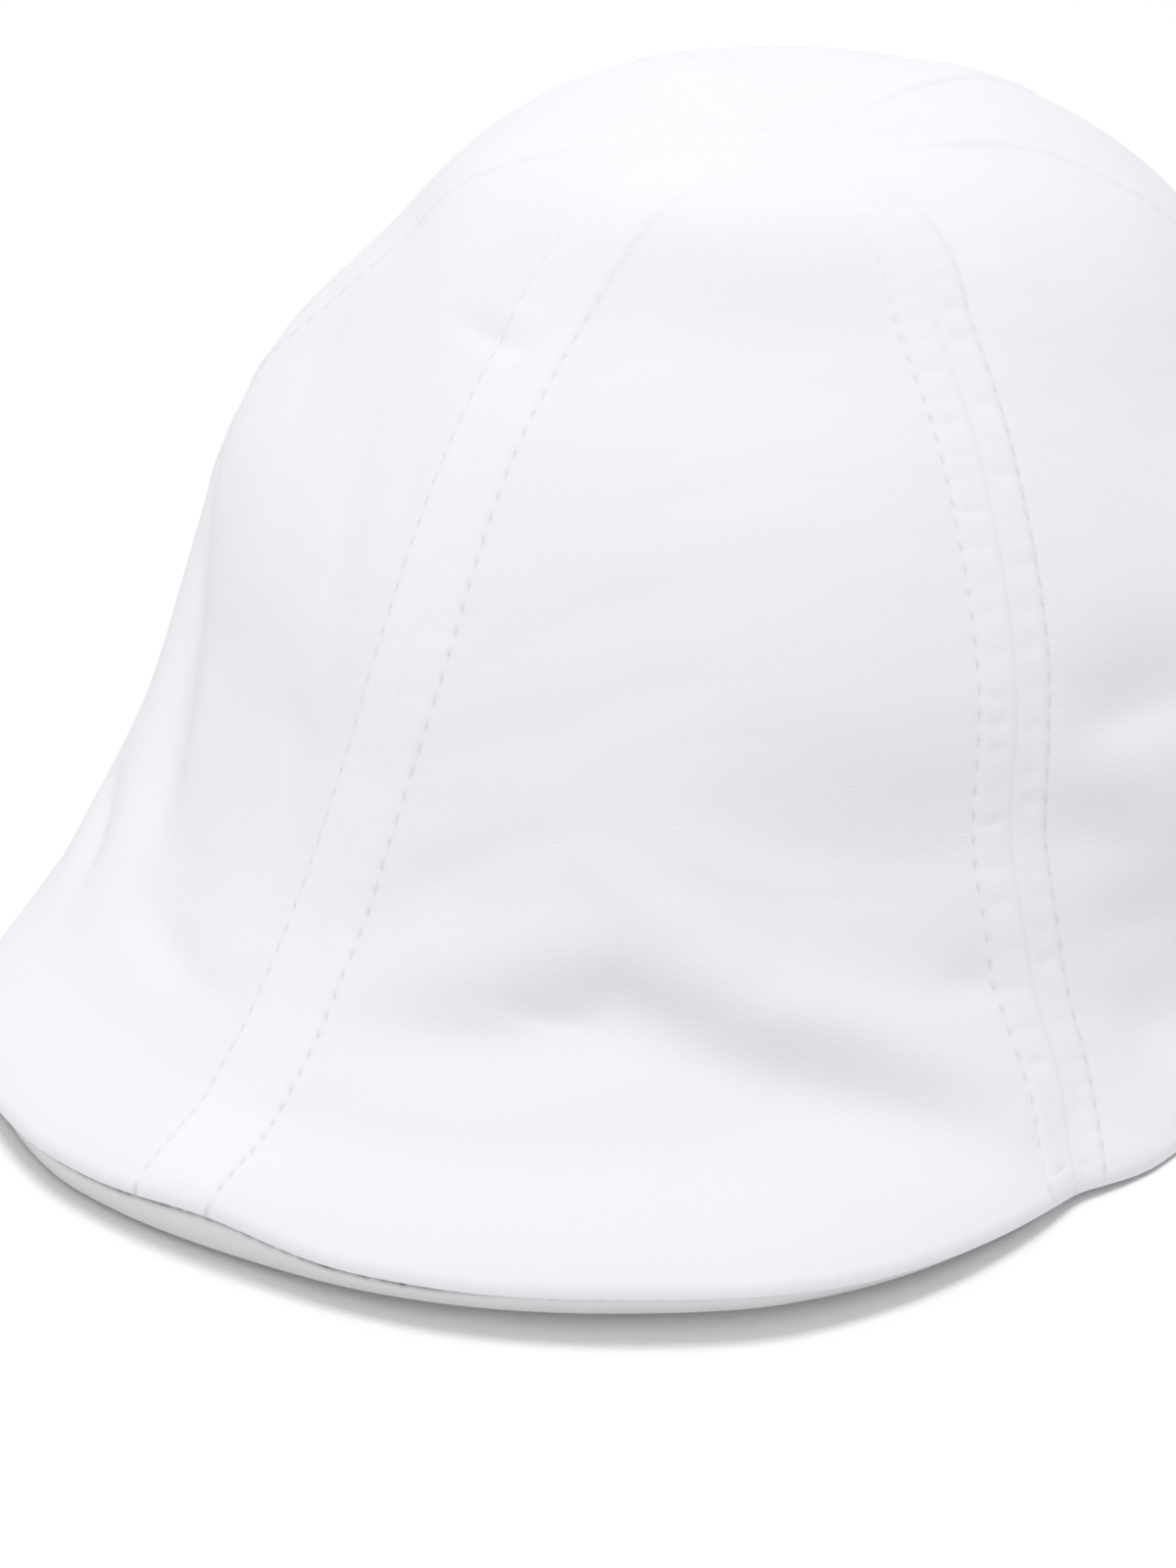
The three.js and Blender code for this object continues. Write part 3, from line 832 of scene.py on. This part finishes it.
def row_points(seam, side):
    """Needle holes of one topstitch row, and the way out of the cloth at each."""
    offset, _, _, _, comes_in = SEAMS[seam]
    dense = np.linspace(TIP_ROW, LAST_ROW, ROW_SAMPLES)
    seam_run = run_length(shell(seam_across(seam, dense), dense))
    first = math.ceil(comes_in[0] / STITCH_PITCH)
    last = math.floor((seam_run[-1] - ROWS_END_SHORT) / STITCH_PITCH)
    runs = np.arange(first, last + 1) * STITCH_PITCH
    down = np.interp(runs, seam_run, dense)
    across = beside_seam(seam, side, offset, down)
    smooth = shell(across, down)
    normal = shell_normal(across, down)
    height = SEAM_LIFT / 2 - ROW_DIP - fold_depth(smooth)
    points = smooth + normal * height[:, None]
    to_edge = seam_run[-1] - runs
    fade = (1 - smooth_step(0, EDGE_FADE, to_edge))[:, None]
    shift = seam_line(across) - shell(across, LAST_ROW)
    return points + shift * fade, normal


def stitch_model():
    """One stitch along X: a short thread that dips at both ends, and how shaded each of its points is.

    The sphere's points and faces can be numbered differently from run to run, so both are sorted.
    """
    deselect_all()
    bpy.ops.mesh.primitive_uv_sphere_add(segments=STITCH_SIDES, ring_count=STITCH_RINGS, radius=0.5)
    stitch = bpy.context.active_object
    mesh = stitch.data
    places = np.array([vertex.co[:] for vertex in mesh.vertices])
    order = np.lexsort(places.T.round(SORT_DIGITS))
    number = np.argsort(order).tolist()
    places = places[order]
    faces = [[number[corner] for corner in face.vertices] for face in mesh.polygons]
    faces.sort(key=sorted)
    bpy.data.objects.remove(stitch)
    turned = places[:, [2, 0, 1]] * [STITCH_LENGTH, THREAD_WIDTH, THREAD_WIDTH]
    lengthways = turned[:, 0] / STITCH_LENGTH * 2
    turned[:, 2] -= STITCH_DIP * lengthways**2
    return turned, faces, smooth_step(*SHADED_END, lengthways)


def lay_stitches(holes, normals, stitch, faces):
    """Copies of the stitch between each pair of holes."""
    start, end = holes[:-1], holes[1:]
    along = end - start
    along /= np.linalg.norm(along, axis=1, keepdims=True)
    out = (normals[:-1] + normals[1:]) / 2
    out -= (out * along).sum(1, keepdims=True) * along
    out /= np.linalg.norm(out, axis=1, keepdims=True)
    sideways = np.cross(out, along)
    middle = (start + end) / 2 + out * STITCH_LIFT
    points = (
        middle[:, None]
        + stitch[None, :, :1] * along[:, None]
        + stitch[None, :, 1:2] * sideways[:, None]
        + stitch[None, :, 2:] * out[:, None]
    )
    step = len(stitch)
    row_faces = [[corner + k * step for corner in face] for k in range(len(start)) for face in faces]
    return points.reshape(-1, 3), row_faces


def topstitches(material):
    """All the topstitches, as one piece of their own."""
    stitch, faces, shade = stitch_model()
    all_points, all_faces, all_shades = [], [], []
    for seam in STITCH_ROWS_ON:
        for side in (-1, 1):
            points, row_faces = lay_stitches(*row_points(seam, side), stitch, faces)
            start = sum(len(group) for group in all_points)
            all_points.append(points)
            all_shades.append(np.tile(shade, len(points) // len(stitch)))
            all_faces += [[corner + start for corner in face] for face in row_faces]
    mesh = bpy.data.meshes.new("topstitches")
    mesh.from_pydata(to_cad_frame(np.vstack(all_points)).tolist(), [], all_faces)
    mesh.materials.append(material)
    mesh.shade_smooth()
    shaded = mesh.attributes.new("shaded", "FLOAT", "POINT")
    shaded.data.foreach_set("value", np.concatenate(all_shades))
    thread = bpy.data.objects.new("topstitches", mesh)
    bpy.context.scene.collection.objects.link(thread)
    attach(thread, "root")


# The covered board under the peak

def opening_point(angle, z, outset):
    """A point on the wall of the head opening, at an angle from the front in degrees."""
    radians = np.radians(angle)
    along = np.cos(radians)
    reach = np.where(along > 0, OPENING_FRONT, OPENING_BACK) + outset
    y = -reach * along
    sway = PEAK_SWAY * (1 - z / SWAY_HEIGHT) * (1 - smooth_step(SWAY_FRONT_Y, SWAY_BACK_Y, y))
    x = (OPENING_HALF_WIDTH + outset) * np.sin(radians) + sway
    return np.stack([x, y, z + 0 * x], -1)


def board_rows(across, edge):
    """Rows of points over the board, from the seam down its side, round its foot and up underneath."""
    height, gap = edge_value("height", across), edge_value("gap", across)
    out = edge_outwards(across)
    plan = edge[:, :2] - np.array([PEAK_SWAY, PEAK_WIDEST_Y])
    angle = np.degrees(np.arctan2(plan[:, 0], -plan[:, 1])) * BOARD_ANGLE_SHARE
    root_height = BOARD_ROOT_LEAST + (BOARD_ROOT_HEIGHT - BOARD_ROOT_LEAST) * np.cos(np.radians(angle)) ** 2
    root = opening_point(angle, root_height, ROOT_OUTSET)
    undercut = SIDE_UNDERCUT + UNDERCUT_SHARE * gap[:, None]
    rows = []
    for share in np.linspace(0, 1, SIDE_RINGS):
        back = SIDE_RECESS + (undercut - SIDE_RECESS) * share
        point = edge + out * (SIDE_BULGE * math.sin(math.pi * share) - back)
        point[:, 2] = gap + RIM_FOOT + (height - RIM_FOOT) * (1 - share)
        rows.append(point)
    for turn in np.linspace(0, 1, TURN_RINGS + 1)[1:]:
        point = edge - out * (undercut + (RIM_INSET - undercut) * turn)
        point[:, 2] = RIM_FOOT + gap * (1 - smooth_step(0, 1, turn))
        rows.append(point)
    strip = rows[-1]
    for share in np.linspace(0, 1, UNDERSIDE_RINGS + 1)[1:]:
        point = strip + (root - strip) * share
        rise = (1 - BOARD_HOLLOW) * share + BOARD_HOLLOW * share**2
        point[:, 2] = RIM_FOOT + (root[:, 2] - BOARD_ROOT_DROP) * rise
        rows.append(point)
    return np.array(rows)


def board_marks(piece, order, across, along, down):
    """The board's painted shade, as masks for the material: dark needle holes, and a shadow line under the
    cloth.
    """
    chance = random.Random(f"{SEED} board")
    holes, place = 0 * along, 0.0
    while place < along[-1]:
        holes = holes + chance.uniform(*SIDE_HOLE_STRENGTH) * bump(along - place, SIDE_HOLE_WIDTH)
        place += chance.uniform(*SIDE_HOLE_SPACING)
    rough = np.array([chance.uniform(*PULLED_ROUGHNESS) for _ in along])
    rough = np.convolve(rough, np.ones(ROUGH_BLUR) / ROUGH_BLUR, "same")
    pulled = smooth_step(*PULLED_SEAM[:2], across) * (1 - smooth_step(*PULLED_SEAM[2:], across))
    shade = SIDE_LINE_SHADE + PULLED_SHADE * pulled * rough
    from_line = down - SIDE_LINE_DOWN - PULLED_DOWN * pulled
    # Painted shade in the needle holes and along the shadow line under the cloth's edge
    set_mask(piece, order, "needle", SIDE_HOLE_SHADE * holes * bump(down - SIDE_HOLE_DOWN, SIDE_HOLE_WIDTH))
    set_mask(piece, order, "band", 0 * down)
    set_mask(piece, order, "seam", shade * bump(from_line, SIDE_LINE_WIDTH))


def covered_board(material):
    """The cloth over the peak's board, from the seam to the head opening."""
    across = np.linspace(-BOARD_END, BOARD_END, BOARD_COLUMNS + 1)
    edge = seam_line(across)
    points = board_rows(across, edge)
    piece, order = new_grid("under_peak_cover", BOARD_COLUMNS, len(points) - 1)
    shape_grid(piece, order, points)
    along, down = run_length(edge), run_length(points)
    set_grid_uv(piece, order, np.repeat(along[None, :], len(points), axis=0), down)
    board_marks(piece, order, across, along, down)
    thicken(piece, BOARD_COVER_WALL, offset=1)
    finish_piece(piece, "under_peak", material)


# The sweatband

def sweatband(material):
    """The plain tape round the head opening, closed at the back and higher over the peak."""
    angle = np.linspace(-180, 180, SWEATBAND_COLUMNS + 1)[None, :]
    share = np.linspace(0, 1, SWEATBAND_ROWS + 1)[:, None]
    up = SWEATBAND_HEIGHT * share
    low = SWEATBAND_FRONT_LIFT * np.maximum(np.cos(np.radians(angle)), 0) ** 2 + SWEATBAND_FOOT
    z = low + up
    turn = np.radians(angle)
    wave = sum(height * np.sin(turn * count + phase) * share for count, height, phase in TAPE_WAVES)
    points = opening_point(angle + 0 * z, z, -wave)
    piece, order = new_grid("sweatband_tape", SWEATBAND_COLUMNS, SWEATBAND_ROWS)
    shape_grid(piece, order, points)
    along = run_length(points, axis=1)
    set_grid_uv(piece, order, along, up + 0 * along)
    # Painted shade along a line of stitches near each edge of the tape
    from_edges = (up - TAPE_STITCH_INSET, SWEATBAND_HEIGHT - up - TAPE_STITCH_INSET)
    stitch_line_shade = TAPE_STITCH_SHADE * sum(bump(distance, TAPE_STITCH_WIDTH) for distance in from_edges)
    set_mask(piece, order, "needle", stitch_line_shade + 0 * along)
    set_mask(piece, order, "band", 0 * along)
    set_mask(piece, order, "seam", 0 * along)
    make_active(piece)
    bpy.ops.object.mode_set(mode="EDIT")
    bpy.ops.mesh.select_all(action="SELECT")
    bpy.ops.mesh.remove_doubles(threshold=MERGE_DISTANCE)
    bpy.ops.object.mode_set(mode="OBJECT")
    thicken(piece, SWEATBAND_WALL)
    finish_piece(piece, "sweatband", material)


# Materials

def poplin(name, colour):
    """Plain cotton poplin: fine ribs, a soft grain, and painted shade in its needle holes and seam lines."""
    material = bpy.data.materials.new(name)
    material.use_nodes = True
    nodes, links = material.node_tree.nodes, material.node_tree.links
    shader = nodes["Principled BSDF"]
    shader.inputs["Roughness"].default_value = CLOTH_ROUGHNESS
    shader.inputs["Specular IOR Level"].default_value = CLOTH_SHEEN

    def calculate(operation, first, second):
        node = nodes.new("ShaderNodeMath")
        node.operation = operation
        for socket, value in zip(node.inputs, (first, second)):
            if isinstance(value, bpy.types.NodeSocket):
                links.new(value, socket)
            else:
                socket.default_value = value
        return node.outputs[0]

    cloth = nodes.new("ShaderNodeUVMap")
    stretch = nodes.new("ShaderNodeMapping")
    stretch.inputs["Scale"].default_value = (*RIBS_PER_METRE, 1)
    links.new(cloth.outputs["UV"], stretch.inputs["Vector"])
    ribs = nodes.new("ShaderNodeTexNoise")
    ribs.inputs["Scale"].default_value = 1
    ribs.inputs["Detail"].default_value = 1
    links.new(stretch.outputs["Vector"], ribs.inputs["Vector"])
    rib = calculate("SUBTRACT", ribs.outputs["Fac"], 0.5)
    grain = nodes.new("ShaderNodeTexNoise")
    grain.inputs["Scale"].default_value = GRAIN_PER_METRE
    grain.inputs["Detail"].default_value = 2
    links.new(cloth.outputs["UV"], grain.inputs["Vector"])
    relief = calculate("ADD", calculate("MULTIPLY", rib, RIB_RELIEF), grain.outputs["Fac"])
    weave = nodes.new("ShaderNodeBump")
    weave.inputs["Strength"].default_value = WEAVE_STRENGTH
    weave.inputs["Distance"].default_value = WEAVE_HEIGHT
    links.new(relief, weave.inputs["Height"])
    links.new(weave.outputs["Normal"], shader.inputs["Normal"])

    def mask(attribute, amount):
        node = nodes.new("ShaderNodeAttribute")
        node.attribute_name = attribute
        return calculate("MULTIPLY", node.outputs["Fac"], amount)

    # Painted shade: the needle holes and seam lines darken the cloth's colour
    dark = calculate("ADD", mask("needle", HOLE_SHADE), mask("seam", LINE_SHADE))
    light = calculate("SUBTRACT", 1, dark)
    light = calculate("ADD", light, calculate("MULTIPLY", rib, RIB_SHADE))
    doubled = nodes.new("ShaderNodeMix")
    doubled.data_type = "RGBA"
    doubled.inputs["A"].default_value = (*colour, 1)
    doubled.inputs["B"].default_value = (*ALLOWANCE_COLOUR, 1)
    links.new(mask("band", 1), doubled.inputs["Factor"])
    tint = nodes.new("ShaderNodeMix")
    tint.data_type = "RGBA"
    tint.blend_type = "MULTIPLY"
    tint.inputs["Factor"].default_value = 1
    links.new(doubled.outputs["Result"], tint.inputs["A"])
    links.new(light, tint.inputs["B"])
    links.new(tint.outputs["Result"], shader.inputs["Base Color"])
    return material


def cotton_thread():
    """The topstitches' thread: white with twisted fibres, and painted nearly black at one end of each
    stitch, as a shadow.
    """
    material = bpy.data.materials.new("cotton_thread")
    material.use_nodes = True
    nodes, links = material.node_tree.nodes, material.node_tree.links
    shader = nodes["Principled BSDF"]
    shader.inputs["Roughness"].default_value = THREAD_ROUGHNESS
    shaded = nodes.new("ShaderNodeAttribute")
    shaded.attribute_name = "shaded"
    colour = nodes.new("ShaderNodeMix")
    colour.data_type = "RGBA"
    colour.inputs["A"].default_value = (*THREAD_COLOUR, 1)
    colour.inputs["B"].default_value = (*STITCH_SHADOW_COLOUR, 1)
    links.new(shaded.outputs["Fac"], colour.inputs["Factor"])
    links.new(colour.outputs["Result"], shader.inputs["Base Color"])
    place = nodes.new("ShaderNodeTexCoord")
    twist = nodes.new("ShaderNodeTexNoise")
    twist.inputs["Scale"].default_value = TWIST_PER_METRE
    links.new(place.outputs["Object"], twist.inputs["Vector"])
    relief = nodes.new("ShaderNodeBump")
    relief.inputs["Strength"].default_value = TWIST_STRENGTH
    relief.inputs["Distance"].default_value = TWIST_HEIGHT
    links.new(twist.outputs["Fac"], relief.inputs["Height"])
    links.new(relief.outputs["Normal"], shader.inputs["Normal"])
    return material


# Making the cap

add_camera()
add_studio()
white_poplin = poplin("white_poplin", CLOTH_COLOUR)
for name, start, end, middle_columns, rows in PANELS:
    crown_panel(name, start, end, middle_columns, rows, white_poplin)
topstitches(cotton_thread())
# The board's cloth is darker, as painted shade
covered_board(poplin("board_poplin_painted_shade", BOARD_SHADED_COLOUR))
sweatband(white_poplin)
